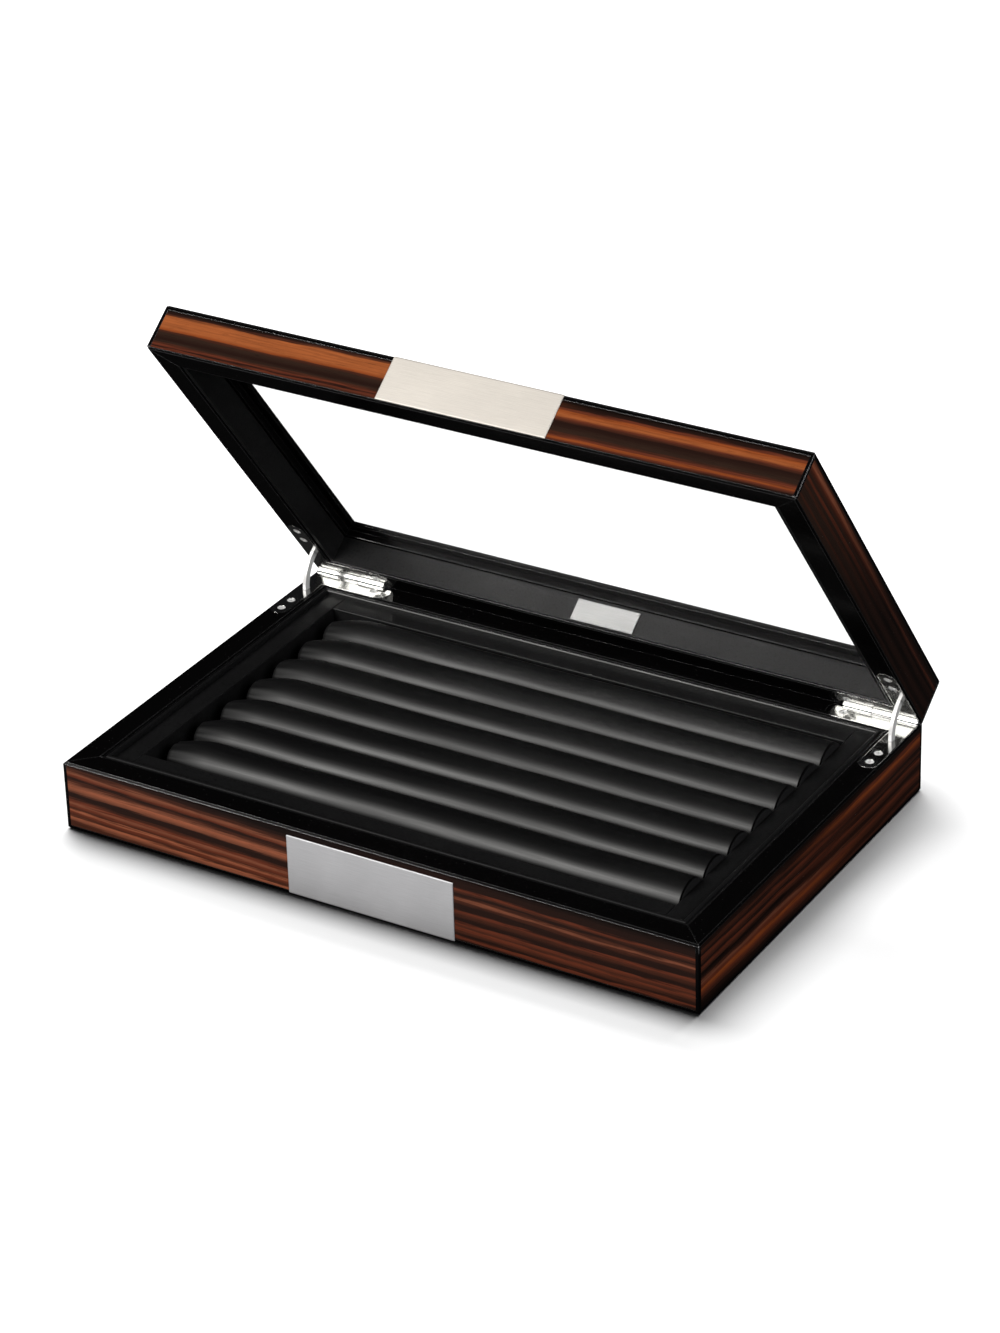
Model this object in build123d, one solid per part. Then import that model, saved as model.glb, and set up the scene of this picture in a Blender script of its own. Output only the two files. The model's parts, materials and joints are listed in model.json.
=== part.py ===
from build123d import *
from math import asin, cos, degrees, pi, sin, sqrt
import os

# Cufflink display box: a veneered wooden case, a hinged lid with a glass window, and a tray of soft rolls.
# Millimetres, +Z up. X runs along the front, and the front faces -Y.
# The origin is the middle of the underside.
# The lid and the quadrant arms are built shut and then turned about the hinge pins to the opening shown.

# ---- Case ----
case_width = 305.0  # outside, left to right
case_depth = 199.0  # outside, front to back
base_height = 32.5  # underside to the base's rim
lid_height = 21.5  # lid's rim to its top
rim_gap = 0.1  # air between the two rims when the box is shut
shown_opening = 53.2  # lid angle in degrees at which the box is shown
full_opening = 95.0  # lid angle in degrees at which the quadrant arms stop it
wall_thickness = 12.0
edge_break = 0.8  # chamfer along the lacquered edges
veneer_thickness = 0.6
corner_band = 1.6  # black lacquered edge between each veneer and the upright corners
rim_band = 1.0  # between each veneer and the rims that meet when the box is shut
foot_band = 1.2  # between the base's veneers and its lower edge
top_band = 2.4  # between the lid's side veneers and its top
flange_band = 1.6  # along both edges of the veneers on the lid's top

# ---- Bottom ----
felt_thickness = 0.8
felt_inset = 2.0
bottom_thickness = 5.0
bottom_rebate = 6.0  # how far the bottom board runs under each wall

# ---- Steel plates on the two fronts ----
plate_width = 80.0
plate_thickness = 0.9
base_plate_edge = 0.2  # plate's lower edge above the wall's lower edge
base_plate_drop = 3.9  # plate's upper edge below the base's rim
lid_plate_edge = 1.0  # plate's lower edge above the lid's rim
lid_plate_top = 0.2  # plate's upper edge below the lid's top

# ---- Base lining: covered boards round the rolls ----
lining_drop = 2.2  # top of the boards below the base's rim
side_board_width = 12.3
end_board_width = 13.0  # the boards along the front and the rear
board_round = 0.6  # rounded top edges of the boards
welt_setback = 1.0  # ledge between the walls and the welt, the raised round that runs along all four boards
welt_width = 1.8
welt_drop = 0.1  # top of the welt below the base's rim
tray_thickness = 3.0
tray_play = 0.2  # round the tray board

# ---- Rolls ----
roll_count = 7
roll_rise = 2.0  # top of the rolls above the base's rim
roll_end_gap = 3.0  # between the ends of a roll and the side boards
front_roll_gap = 3.6  # between the front board and the first roll
rear_roll_gap = 1.9  # between the last roll and the rear board
roll_gap = 0.4  # between neighbouring rolls
roll_lift = 0.2  # under each roll
roll_crown = 0.92  # height of the rounded top for each unit of half width
roll_foot = 0.9  # width of the foot for each unit of the roll's width
roll_nose = 10.0  # length over which each end is drawn in
nose_shares = ((0.0, 0.68, 0.85), (0.2, 0.88, 0.95), (1.0, 1.0, 1.0))
# each section of a nose: share of its length in from the end, share of the full width and of the full height

# ---- Lid ----
flange_width = 18.5  # from the lid's outer face to the edge of the window
flange_thickness = 2.7
glass_thickness = 2.0
glass_play = 0.3  # round the glass
bead_width = 3.0
bead_height = 3.2
lid_lining_thickness = 1.5
lid_lining_edge = 0.8  # lining's lower edge above the lid's rim
lid_lining_gap = 0.2  # between the lining and the bead
label_width = 31.0
label_height = 10.4
label_thickness = 0.5
label_edge = 0.7  # label's lower edge above the lining's lower edge

# ---- Quadrant hinges ----
leaf_length = 40.8  # along the rear rim
leaf_reach = 44.0  # along the side rim, forward from the pin
leaf_thickness = 1.5
rear_leg_width = 11.2
side_leg_width = 8.5
leaf_margin = 1.2  # leaf's outer edge in from the side of the case
leaf_play = 0.1  # round a leaf in its mortise
pin_radius = 1.1
pin_play = 0.05
knuckle_radius = 2.4
knuckle_play = 0.3  # between a knuckle and what it turns past
inner_knuckle = 13.4  # lengths along the pin
lid_knuckle = 10.0
knuckle_seam = 0.2
trench_play = 0.4  # between the knuckles and the wood
side_screws = 2  # in each side leg, with one more in each rear leg
screw_head_radius = 1.9
screw_radius = 0.9
screw_length = 8.0
screw_play = 0.05
side_screw_setback = 30.7  # first side screw, forward from the pin
side_screw_pitch = 8.0
rear_screw_setback = 6.2  # rear screws, forward from the pin
rear_screw_inset = 8.0  # rear screw, from the leaf's inner end
arm_inner_radius = 16.6  # both measured from the pin
arm_outer_radius = 19.8
arm_thickness = 1.6
arm_play = 0.3  # between an arm and its slots
lug_height = 1.2  # how far the lug at each end of an arm stands out on both edges
lug_angle = 5.0  # length of a lug, in degrees
mortise_end_angle = 1.5  # room past the lug when the box is shut, in degrees

# ---- Levels and places worked out from the sizes above ----
lid_rim = base_height + rim_gap
lid_top = lid_rim + lid_height
wall_foot = felt_thickness
bottom_top = wall_foot + bottom_thickness
tray_top = bottom_top + tray_thickness
lining_top = base_height - lining_drop
board_side = case_width / 2 - wall_thickness - side_board_width  # inner face of a side board
board_end = case_depth / 2 - wall_thickness - end_board_width  # inner face of a front or rear board
flange_low = lid_top - flange_thickness
glass_low = flange_low - glass_thickness
bead_low = glass_low - bead_height
pin_y = case_depth / 2
pin_z = base_height + rim_gap / 2
leaf_outer = case_width / 2 - leaf_margin
leaf_inner = leaf_outer - leaf_length
barrel_start = leaf_inner + rear_leg_width / 2
leg_middle = leaf_outer - side_leg_width / 2  # centre line of the side leg, its screws and the arm
pin_axis = Axis((0, pin_y, pin_z), (-1, 0, 0))  # a positive turn opens the lid

turn_of_side = {"front": 0, "right": 90, "rear": 180, "left": 270}


def reach(side):
    """Half the outside length along a side, and the distance from the middle out to its face."""
    if side in ("front", "rear"):
        return case_width / 2, case_depth / 2
    return case_depth / 2, case_width / 2


def on_side(side, shape):
    """Carries a shape built at the front round to another side."""
    return Rot(0, 0, turn_of_side[side]) * shape


def block(low, high):
    """Rectangular solid between two opposite corners."""
    size = [b - a for a, b in zip(low, high)]
    middle = [(a + b) / 2 for a, b in zip(low, high)]
    return Pos(*middle) * Box(*size)


def side_block(side, half_length, inward, heights):
    """Block centred on a side, given by its half length, its span in from the outer face and its heights."""
    out = reach(side)[1]
    low = (-half_length, inward[0] - out, heights[0])
    high = (half_length, inward[1] - out, heights[1])
    return on_side(side, block(low, high))


def mitred(side, outline):
    """Member with a section (distance in from the outer face, height) along a side, mitred at both ends."""
    half_length, out = reach(side)
    section = make_face(Plane.YZ * Polyline(*[(inward - out, z) for inward, z in outline], close=True))
    bar = extrude(section, amount=half_length, both=True)
    depth = max(inward for inward, z in outline)
    low = min(z for inward, z in outline)
    high = max(z for inward, z in outline)
    outer_corners = [(-half_length, -out), (half_length, -out)]
    inner_corners = [(half_length - depth, depth - out), (depth - half_length, depth - out)]
    plan = make_face(Polyline(*outer_corners, *inner_corners, close=True))
    wedge = Pos(0, 0, low) * extrude(plan, amount=high - low)
    return on_side(side, bar & wedge)


def rectangle_outline(inward, heights):
    """Four corners of a plain rectangular section."""
    return [(inward[0], heights[0]), (inward[0], heights[1]), (inward[1], heights[1]), (inward[1], heights[0])]


def both_hands(shape):
    """A shape at the right-hand hinge, and its mirror image at the left-hand one."""
    return {"right": shape, "left": mirror(shape, about=Plane.YZ)}


def to_lid(shape):
    """Mirrors a hinge piece of the base across the shut joint into the lid."""
    return mirror(shape, about=Plane((0, 0, pin_z), z_dir=(0, 0, 1)))


# ---- Hinge pieces, built at the right-hand rear corner ----
def leaf_plan(play):
    """Plan of a leaf: a leg along the rear rim and one along the side rim, each with a rounded end."""
    rear_middle = pin_y - rear_leg_width / 2
    rear_leg = Pos((barrel_start + leaf_outer) / 2, rear_middle) * Rectangle(
        leaf_outer - barrel_start + 2 * play, rear_leg_width + 2 * play
    )
    rear_end = Pos(barrel_start, rear_middle) * Circle(rear_leg_width / 2 + play)
    side_end_y = pin_y - leaf_reach + side_leg_width / 2
    side_leg = Pos(leg_middle, (side_end_y + pin_y) / 2) * Rectangle(
        side_leg_width + 2 * play, pin_y - side_end_y + 2 * play
    )
    side_end = Pos(leg_middle, side_end_y) * Circle(side_leg_width / 2 + play)
    return rear_leg + rear_end + side_leg + side_end


def leaf_places():
    """Where the screws go through a leaf."""
    side_places = [(leg_middle, pin_y - side_screw_setback - i * side_screw_pitch) for i in range(side_screws)]
    return side_places + [(leaf_inner + rear_screw_inset, pin_y - rear_screw_setback)]


def screw_body(x, y, play):
    """Screw with its head countersunk through the leaf and flush with the rim, or the hole that takes it."""
    head_low = base_height - leaf_thickness
    head = Pos(x, y, head_low + leaf_thickness / 2) * Cone(
        screw_radius + play, screw_head_radius + play, leaf_thickness
    )
    shank_low = base_height - screw_length - play
    shank = Pos(x, y, (shank_low + head_low) / 2) * Cylinder(screw_radius + play, head_low - shank_low)
    return head + shank


def barrel(radius, start, end):
    """Round bar on the pin's axis between two places along it."""
    return Pos((start + end) / 2, pin_y, pin_z) * Rot(0, 90, 0) * Cylinder(radius, end - start)


def knuckle_spans():
    """Where each knuckle starts and ends along the pin. The base has the outer two, the lid the middle one."""
    first_end = barrel_start + inner_knuckle
    lid_start = first_end + knuckle_seam
    lid_end = lid_start + lid_knuckle
    return (barrel_start, first_end), (lid_start, lid_end), (lid_end + knuckle_seam, leaf_outer)


def arc_band(inner, outer, thickness, start, end):
    """Flat curved strip round the pin's axis, between two angles up from the shut joint."""
    strip = Pos(leg_middle, pin_y - (inner + outer) / 2, pin_z) * Rectangle(thickness, outer - inner)
    return revolve(strip, axis=pin_axis, revolution_arc=end - start).rotate(pin_axis, start)


# A lug stops under its leaf at full opening, with its inner corner just clear of the leaf's lower face.
lug_inner_radius = arm_inner_radius - lug_height
lug_outer_radius = arm_outer_radius + lug_height
lug_stop_angle = degrees(asin((rim_gap / 2 + leaf_thickness + leaf_play) / lug_inner_radius))
arm_half_angle = full_opening / 2 + lug_stop_angle + lug_angle


def quadrant_arm():
    """Curved arm with a lug at each end, centred on the shut joint."""
    arm = arc_band(arm_inner_radius, arm_outer_radius, arm_thickness, -arm_half_angle, arm_half_angle)
    for start in (-arm_half_angle, arm_half_angle - lug_angle):
        arm += arc_band(lug_inner_radius, lug_outer_radius, arm_thickness, start, start + lug_angle)
    return arm


def arm_slot():
    """Slot in a leaf that the arm passes through but its lugs do not."""
    front = pin_y - arm_outer_radius - arm_play
    rear = pin_y - sqrt(arm_inner_radius**2 - (rim_gap / 2 + leaf_thickness) ** 2) + arm_play
    half = arm_thickness / 2 + arm_play
    low = (leg_middle - half, front, base_height - leaf_thickness)
    return block(low, (leg_middle + half, rear, base_height))


def arm_mortise():
    """Curved pocket in the wood below a leaf, for the arm and its lugs."""
    width = arm_thickness + 2 * arm_play
    lowest = -arm_half_angle - mortise_end_angle
    return arc_band(lug_inner_radius - arm_play, lug_outer_radius + arm_play, width, lowest, 0)


def leaf(knuckles, others):
    """Leaf of the base with its own knuckles, cleared round the knuckles of the other leaf."""
    plate = Pos(0, 0, base_height - leaf_thickness) * extrude(leaf_plan(0), amount=leaf_thickness)
    for start, end in others:
        plate -= barrel(knuckle_radius + knuckle_play, start - knuckle_seam, end + knuckle_seam)
    for start, end in knuckles:
        plate += barrel(knuckle_radius, start, end)
    plate -= barrel(pin_radius + pin_play, leaf_inner, leaf_outer)
    plate -= arm_slot()
    for x, y in leaf_places():
        plate -= screw_body(x, y, screw_play)
    return plate


def hinge_cuts():
    """Everything that one hinge takes out of the wood of the base."""
    recess = Pos(0, 0, base_height - leaf_thickness) * extrude(leaf_plan(leaf_play), amount=leaf_thickness)
    trench = barrel(knuckle_radius + trench_play, barrel_start - trench_play, leaf_outer + trench_play)
    cuts = recess + trench + arm_mortise()
    for x, y in leaf_places():
        cuts += screw_body(x, y, screw_play)
    return cuts


spans = knuckle_spans()
base_cuts = both_hands(hinge_cuts())
lid_cuts = {hand: to_lid(cut) for hand, cut in base_cuts.items()}


def cut_for_hinges(side, shape, cuts):
    """Takes the hinges out of a piece on the rear or a flank."""
    hands = {"rear": ("left", "right"), "left": ("left",), "right": ("right",), "front": ()}[side]
    for hand in hands:
        shape -= cuts[hand]
    return shape


base_parts = {}
lid_parts = {}

# ---- Base: four mitred walls, their veneers and the steel plate ----
wall_outline = [
    (0, wall_foot),
    (0, base_height - edge_break),
    (edge_break, base_height),
    (wall_thickness - edge_break, base_height),
    (wall_thickness, base_height - edge_break),
    (wall_thickness, bottom_top),
    (wall_thickness - bottom_rebate, bottom_top),
    (wall_thickness - bottom_rebate, wall_foot),
]
# The rear rims' outer edges are left sharp, as the lid turns about the line where they meet.
rear_wall_outline = [(0, wall_foot), (0, base_height)] + wall_outline[3:]
plate_span = (veneer_thickness - plate_thickness, veneer_thickness)
base_plate_heights = (wall_foot + base_plate_edge, base_height - base_plate_drop)
lid_plate_heights = (lid_rim + lid_plate_edge, lid_top - lid_plate_top)
base_plate = side_block("front", plate_width / 2, plate_span, base_plate_heights)
lid_plate = side_block("front", plate_width / 2, plate_span, lid_plate_heights)


def face_veneer(side, low, high):
    """Sheet of veneer let into a face between two heights, inside its black upright edges."""
    return side_block(side, reach(side)[0] - corner_band, (0, veneer_thickness), (low, high))


for side in turn_of_side:
    wall = mitred(side, rear_wall_outline if side == "rear" else wall_outline)
    veneer = face_veneer(side, wall_foot + foot_band, base_height - rim_band)
    wall -= veneer
    if side == "front":
        wall -= base_plate
        veneer -= base_plate
    elif side == "rear":
        veneer = cut_for_hinges(side, veneer, base_cuts)
    base_parts[f"base_{side}_wall"] = cut_for_hinges(side, wall, base_cuts)
    base_parts[f"base_{side}_veneer"] = veneer
base_parts["base_front_plate"] = base_plate

# ---- Base: bottom board, felt and covered boards ----
bottom_x = case_width / 2 - wall_thickness + bottom_rebate
bottom_y = case_depth / 2 - wall_thickness + bottom_rebate
base_parts["base_bottom_board"] = block((-bottom_x, -bottom_y, wall_foot), (bottom_x, bottom_y, bottom_top))
felt_x = case_width / 2 - felt_inset
felt_y = case_depth / 2 - felt_inset
base_parts["base_felt"] = block((-felt_x, -felt_y, 0), (felt_x, felt_y, felt_thickness))


def covered_board(side, half_length, width):
    """Board standing inside a wall, with its long top edges rounded."""
    board = block(
        (-half_length, wall_thickness - reach(side)[1], bottom_top),
        (half_length, wall_thickness + width - reach(side)[1], lining_top),
    )
    top_edges = board.edges().filter_by(Axis.X).group_by(Axis.Z)[-1]
    return on_side(side, fillet(top_edges, min(board_round, width / 3)))


for side in ("left", "right"):
    base_parts[f"base_lining_{side}"] = covered_board(side, case_depth / 2 - wall_thickness, side_board_width)
for side in ("front", "rear"):
    base_parts[f"base_lining_{side}"] = covered_board(side, board_side, end_board_width)
welt_radius = welt_width / 2
welt_middle = (wall_thickness + welt_setback + welt_radius, base_height - welt_drop - welt_radius)
welt_steps = 8
welt_arc = [
    (welt_middle[0] - welt_radius * cos(pi * k / welt_steps), welt_middle[1] + welt_radius * sin(pi * k / welt_steps))
    for k in range(welt_steps + 1)
]
welt_outline = [
    (wall_thickness, lining_top),
    (wall_thickness, welt_middle[1]),
    *welt_arc,
    (welt_middle[0] + welt_radius, lining_top),
]
for side in turn_of_side:
    base_parts[f"base_welt_{side}"] = mitred(side, welt_outline)
tray_x = board_side - tray_play
tray_y = board_end - tray_play
base_parts["tray_board"] = block((-tray_x, -tray_y, bottom_top), (tray_x, tray_y, tray_top))

# ---- Rolls: soft bars with a rounded top and drawn-in noses, side by side across the tray ----
roll_half_length = board_side - roll_end_gap
roll_pitch = (2 * board_end - front_roll_gap - rear_roll_gap) / roll_count
roll_half_width = (roll_pitch - roll_gap) / 2
roll_low = tray_top + roll_lift
roll_height = base_height + roll_rise - roll_low


def roll_section(x, y, width_share, height_share):
    """Section of a roll: a flat foot, sides that lean out and a rounded top."""
    half = roll_half_width * width_share
    top = roll_height * height_share
    shoulder = top - roll_crown * half
    foot = half * roll_foot
    outline = [
        Line((-foot, 0), (foot, 0)),
        Line((foot, 0), (half, shoulder)),
        ThreePointArc((half, shoulder), (0, top), (-half, shoulder)),
        Line((-half, shoulder), (-foot, 0)),
    ]
    return Plane((x, y, roll_low), x_dir=(0, 1, 0), z_dir=(1, 0, 0)) * make_face(outline)


def cushion_roll(y):
    """One roll along X, drawn in towards both ends."""
    left = [(share * roll_nose - roll_half_length, width, height) for share, width, height in nose_shares]
    right = [(-x, width, height) for x, width, height in reversed(left)]
    return loft([roll_section(x, y, width, height) for x, width, height in left + right], ruled=True)


for i in range(roll_count):
    roll_y = -board_end + front_roll_gap + (i + 0.5) * roll_pitch
    base_parts[f"cushion_roll_{i + 1}"] = cushion_roll(roll_y)

# ---- Lid: four mitred rails with a flange over the glass, and their veneers ----
rail_outline = [
    (edge_break, lid_rim),
    (0, lid_rim + edge_break),
    (0, lid_top - edge_break),
    (edge_break, lid_top),
    (flange_width - edge_break, lid_top),
    (flange_width, lid_top - edge_break),
    (flange_width, flange_low),
    (wall_thickness, flange_low),
    (wall_thickness, lid_rim + edge_break),
    (wall_thickness - edge_break, lid_rim),
]
rear_rail_outline = [(0, lid_rim)] + rail_outline[2:]
for side in turn_of_side:
    rail = mitred(side, rear_rail_outline if side == "rear" else rail_outline)
    veneer = face_veneer(side, lid_rim + rim_band, lid_top - top_band)
    sheet_inward = (flange_band, flange_width - flange_band)
    top_veneer = mitred(side, rectangle_outline(sheet_inward, (lid_top - veneer_thickness, lid_top)))
    rail -= veneer
    rail -= top_veneer
    if side == "front":
        rail -= lid_plate
        veneer -= lid_plate
    elif side == "rear":
        veneer = cut_for_hinges(side, veneer, lid_cuts)
    lid_parts[f"lid_{side}_rail"] = cut_for_hinges(side, rail, lid_cuts)
    lid_parts[f"lid_{side}_veneer"] = veneer
    lid_parts[f"lid_{side}_top_veneer"] = top_veneer
    bead_inward = (wall_thickness, wall_thickness + bead_width)
    lid_parts[f"glass_bead_{side}"] = mitred(side, rectangle_outline(bead_inward, (bead_low, glass_low)))
lid_parts["lid_front_plate"] = lid_plate
glass_x = case_width / 2 - wall_thickness - glass_play
glass_y = case_depth / 2 - wall_thickness - glass_play
lid_parts["lid_glass"] = block((-glass_x, -glass_y, glass_low), (glass_x, glass_y, flange_low))

# ---- Lid: lining and bare label plate ----
lining_heights = (lid_rim + lid_lining_edge, bead_low - lid_lining_gap)
lining_inward = (wall_thickness, wall_thickness + lid_lining_thickness)
for side in turn_of_side:
    half_length = reach(side)[0] - wall_thickness
    if side in ("front", "rear"):
        half_length -= lid_lining_thickness
    lid_parts[f"lid_lining_{side}"] = side_block(side, half_length, lining_inward, lining_heights)
label_low = lining_heights[0] + label_edge
label_inward = (lining_inward[1], lining_inward[1] + label_thickness)
label_heights = (label_low, label_low + label_height)
lid_parts["lid_label_plate"] = side_block("rear", label_width / 2, label_inward, label_heights)

# ---- Hinges ----
arm_parts = {}
base_leaves = both_hands(leaf([spans[0], spans[2]], [spans[1]]))
lid_leaves = both_hands(to_lid(leaf([spans[1]], [spans[0], spans[2]])))
screws = Part() + [screw_body(x, y, 0) for x, y in leaf_places()]
screws += mirror(screws, about=Plane.YZ)
base_parts["base_hinge_screws"] = screws
lid_parts["lid_hinge_screws"] = to_lid(screws)
pins = both_hands(barrel(pin_radius, barrel_start, leaf_outer))
arms = both_hands(quadrant_arm())
for hand in ("left", "right"):
    base_parts[f"hinge_{hand}_base_leaf"] = base_leaves[hand]
    base_parts[f"hinge_{hand}_pin"] = pins[hand]
    lid_parts[f"hinge_{hand}_lid_leaf"] = lid_leaves[hand]
    arm_parts[f"quadrant_arm_{hand}"] = arms[hand]

# ---- Turn the lid to the opening shown; each arm follows at half the angle ----
parts = dict(base_parts)
for name, shape in lid_parts.items():
    parts[name] = shape.rotate(pin_axis, shown_opening)
for name, shape in arm_parts.items():
    parts[name] = shape.rotate(pin_axis, shown_opening / 2)

os.makedirs("parts", exist_ok=True)
for name, shape in parts.items():
    export_step(shape, f"parts/{name}.step")
print(len(parts), "nodes written")
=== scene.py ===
# %% [markdown]
# # A veneered cufflink box, dressed in Blender
#
# The box was first built as a CAD model, with every wall, hinge leaf and screw in its real place. This file keeps that
# model as a fixed frame and gives it what CAD leaves out: soft cloth rolls, screw heads with a recess, finishes, light
# and a camera. Everything is in metres, and X runs along the front of the box.

# %% Load the frame
import json
import math

import bpy
import numpy as np
from mathutils import Matrix, Vector


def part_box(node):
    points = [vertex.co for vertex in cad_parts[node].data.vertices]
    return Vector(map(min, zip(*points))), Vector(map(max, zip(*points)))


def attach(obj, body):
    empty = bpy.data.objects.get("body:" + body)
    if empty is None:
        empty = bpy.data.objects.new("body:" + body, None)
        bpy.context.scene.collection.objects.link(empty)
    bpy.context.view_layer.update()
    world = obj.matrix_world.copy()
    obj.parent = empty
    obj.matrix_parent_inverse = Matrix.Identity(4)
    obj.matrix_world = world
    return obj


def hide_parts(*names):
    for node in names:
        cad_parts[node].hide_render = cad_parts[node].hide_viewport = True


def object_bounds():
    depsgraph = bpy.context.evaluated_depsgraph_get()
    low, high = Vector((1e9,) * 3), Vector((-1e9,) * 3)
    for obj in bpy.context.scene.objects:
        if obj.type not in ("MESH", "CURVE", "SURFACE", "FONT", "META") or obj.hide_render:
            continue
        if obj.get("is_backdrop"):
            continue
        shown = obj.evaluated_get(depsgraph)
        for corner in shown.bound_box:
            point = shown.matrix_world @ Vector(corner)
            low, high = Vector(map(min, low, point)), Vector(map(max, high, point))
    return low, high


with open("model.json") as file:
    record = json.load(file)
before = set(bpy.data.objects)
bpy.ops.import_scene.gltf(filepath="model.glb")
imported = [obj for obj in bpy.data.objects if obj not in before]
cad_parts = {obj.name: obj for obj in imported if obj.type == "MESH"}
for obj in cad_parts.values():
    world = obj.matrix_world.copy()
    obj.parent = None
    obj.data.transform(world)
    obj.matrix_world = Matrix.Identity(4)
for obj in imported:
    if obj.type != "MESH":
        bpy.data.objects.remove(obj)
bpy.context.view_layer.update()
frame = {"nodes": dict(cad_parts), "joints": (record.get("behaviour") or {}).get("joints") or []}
nodes = frame["nodes"]

# %% [markdown]
# ## The camera
#
# The photograph looks at the box from the front right and from above, through a long lens, so its edges run nearly
# parallel. A camera that only points at the middle of the box would hold its picture level, and the photograph's is
# not quite level. So the camera is turned about three directions that are worked out here: forward, right and up.

# %% Camera
def photo_camera(place, azimuth, elevation, roll, lens):
    """Camera at a place. Azimuth 0 looks along +Y. Roll turns the picture about the direction of view."""
    a, e, r = (math.radians(v) for v in (azimuth, elevation, roll))
    forward = Vector((-math.sin(a) * math.cos(e), math.cos(a) * math.cos(e), -math.sin(e)))
    level = Vector((math.cos(a), math.sin(a), 0))
    upright = level.cross(forward)
    right = math.cos(r) * level + math.sin(r) * upright
    up = math.cos(r) * upright - math.sin(r) * level
    data = bpy.data.cameras.new("photo_camera")
    data.lens, data.sensor_width = lens, 36
    camera = bpy.data.objects.new("photo_camera", data)
    camera.matrix_world = Matrix.Translation(place) @ Matrix((right, up, -forward)).transposed().to_4x4()
    bpy.context.scene.collection.objects.link(camera)
    bpy.context.scene.camera = camera
    return camera


camera = photo_camera((0.84015, -1.36379, 0.94703), azimuth=31.502, elevation=28.721, roll=-1.716, lens=117.65)
print("the camera stands", round(camera.location.length, 2), "m away")

# %% [markdown]
# ## Helpers for shader nodes
#
# A finish is a small network of nodes. Three helpers keep each network readable: one adds a node and feeds its inputs,
# one does sums, and one starts a node group. A group is an effect that several finishes share, such as grain or dust:
# it is built once, and each finish places it with values of its own.

# %% Helpers for shader nodes
def add(tree, kind, inputs=(), **settings):
    """Adds a node and feeds its inputs, each with a plain value or with another node's output."""
    node = tree.nodes.new("ShaderNode" + kind)
    for name, value in settings.items():
        setattr(node, name, value)
    for name, value in dict(inputs).items():
        if isinstance(value, bpy.types.NodeSocket):
            tree.links.new(value, node.inputs[name])
        else:
            node.inputs[name].default_value = value
    return node


def sums(tree, operation, *values):
    """The output of a Math node that is fed with these values."""
    return add(tree, "Math", enumerate(values), operation=operation).outputs[0]


def spread(tree, value, low, high, to_low=0.0, to_high=1.0):
    """The output of a smooth Map Range node from one span to another."""
    inputs = {"Value": value, "From Min": low, "From Max": high, "To Min": to_low, "To Max": to_high}
    return add(tree, "MapRange", inputs, interpolation_type="SMOOTHSTEP").outputs["Result"]


def noise(tree, vector, scale, detail=2.0, roughness=0.5):
    """The value of a noise texture, from about 0 to 1."""
    inputs = {"Vector": vector, "Scale": scale, "Detail": detail, "Roughness": roughness}
    return add(tree, "TexNoise", inputs).outputs["Fac"]


def blend_colours(tree, share, first, second):
    """The colour that lies a share of the way from the first to the second."""
    node = add(tree, "Mix", data_type="RGBA")
    for place, value in ((0, share), (6, first), (7, second)):
        if isinstance(value, bpy.types.NodeSocket):
            tree.links.new(value, node.inputs[place])
        else:
            node.inputs[place].default_value = value
    return node.outputs[2]


def start_group(name, inputs, outputs):
    """An empty node group with named inputs and their default values, and with named outputs."""
    tree = bpy.data.node_groups.new(name, "ShaderNodeTree")
    for socket, value in inputs.items():
        kind = "NodeSocketVector" if value is None else "NodeSocketFloat"
        made = tree.interface.new_socket(socket, in_out="INPUT", socket_type=kind)
        if value is not None:
            made.default_value = value
    for socket, kind in outputs.items():
        tree.interface.new_socket(socket, in_out="OUTPUT", socket_type="NodeSocket" + kind)
    return tree, tree.nodes.new("NodeGroupInput").outputs, tree.nodes.new("NodeGroupOutput").inputs


def start_material(name, **values):
    """A new material, and its node tree and Principled shader, with plain values on the shader's sockets."""
    made = bpy.data.materials.new(name)
    made.use_nodes = True
    shader = made.node_tree.nodes["Principled BSDF"]
    for socket, value in values.items():
        shader.inputs[socket.replace("_", " ")].default_value = value
    return made, made.node_tree, shader


def finish_nodes(material, *names):
    """Gives a material to every CAD node whose name is listed."""
    for name in names:
        slots = nodes[name].data.materials
        slots.clear()
        slots.append(material)
    print(material.name, "goes on", len(names), "nodes")


def place_on(tree):
    """Coordinates in metres that stay with the object."""
    return add(tree, "TexCoord").outputs["Object"]


# %% [markdown]
# ## Shared effect: grain streaks
#
# Ebony veneer, brushed steel and raw board all have fine lines that run one way. A noise texture gives round blotches,
# so it is squeezed across the grain and stretched along it. A second, wider noise gives the slow wander that bends the
# bands of a veneer. The group expects the grain to run along the X of the vector that it is given.

# %% Group: grain streaks
grain_streaks, given, result = start_group(
    "grain_streaks", {"Vector": None, "Lines per metre": 900.0, "Stretch": 40.0, "Bend per metre": 9.0},
    {"Streaks": "Float", "Wander": "Float", "Pores": "Float"})
parts = add(grain_streaks, "SeparateXYZ", {0: given["Vector"]}).outputs
along = sums(grain_streaks, "DIVIDE", parts["X"], given["Stretch"])
squeezed = add(grain_streaks, "CombineXYZ", {0: along, 1: parts["Y"], 2: parts["Z"]}).outputs[0]
streaks = noise(grain_streaks, squeezed, given["Lines per metre"], 3.0, 0.6)
finer = sums(grain_streaks, "MULTIPLY", given["Lines per metre"], 3.1)
dashes = noise(grain_streaks, squeezed, finer, 1.0)
slow_along = sums(grain_streaks, "MULTIPLY", parts["X"], 0.8)
slowly = add(grain_streaks, "CombineXYZ", {0: slow_along, 1: parts["Y"], 2: parts["Z"]}).outputs[0]
bend = noise(grain_streaks, slowly, given["Bend per metre"], 2.0)
grain_streaks.links.new(spread(grain_streaks, streaks, 0.3, 0.7), result["Streaks"])
grain_streaks.links.new(sums(grain_streaks, "SUBTRACT", bend, 0.5), result["Wander"])
grain_streaks.links.new(spread(grain_streaks, dashes, 0.62, 0.72), result["Pores"])
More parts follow.
